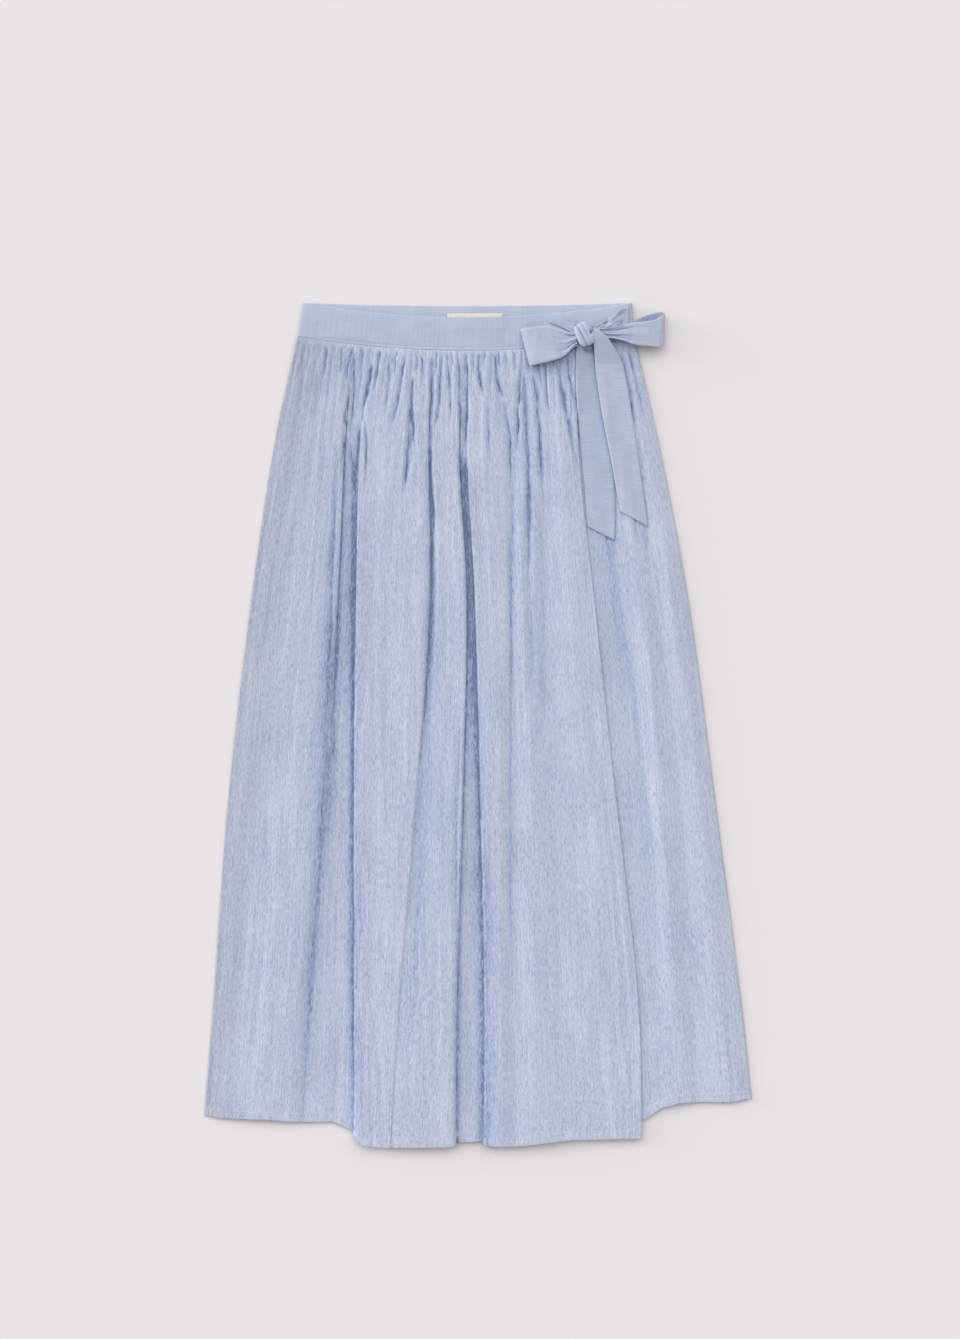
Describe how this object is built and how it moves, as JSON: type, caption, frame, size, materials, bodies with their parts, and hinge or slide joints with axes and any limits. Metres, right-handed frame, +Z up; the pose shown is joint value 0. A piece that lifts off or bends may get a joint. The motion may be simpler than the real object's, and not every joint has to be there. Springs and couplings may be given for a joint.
{
  "type": "wrap maxi skirt",
  "caption": "Long wrap skirt laid flat: gathered panels on a curved waistband, with a tie knotted in a bow at one hip.",
  "frame": {"origin": "on the surface that the skirt lies on, under the middle of its outline", "axes": "+Y from the hem to the waist, +X towards the side with the bow, +Z up from the surface"},
  "size_m": [0.591, 0.911, 0.0205],
  "materials": {
    "crinkled_cotton": "matt crinkled light blue cotton with fine puckers down its length",
    "band_cotton": "matt plain-woven light blue cotton with fine slubs",
    "tie_cotton": "matt plain-woven light blue cotton with fine slubs",
    "label_tape": "bare cream tape"
  },
  "bodies": {
    "root": {"back_panel": "crinkled_cotton", "under_wrap_panel": "crinkled_cotton", "front_wrap_panel": "crinkled_cotton", "waistband_back": "band_cotton", "waistband_front": "band_cotton", "waist_label": "label_tape", "tie_strap_left": "tie_cotton", "tie_strap_right": "tie_cotton", "bow_knot": "tie_cotton", "bow_loop_left": "tie_cotton", "bow_loop_right": "tie_cotton", "bow_tail_left": "tie_cotton", "bow_tail_right": "tie_cotton"}
  },
  "joints": []
}
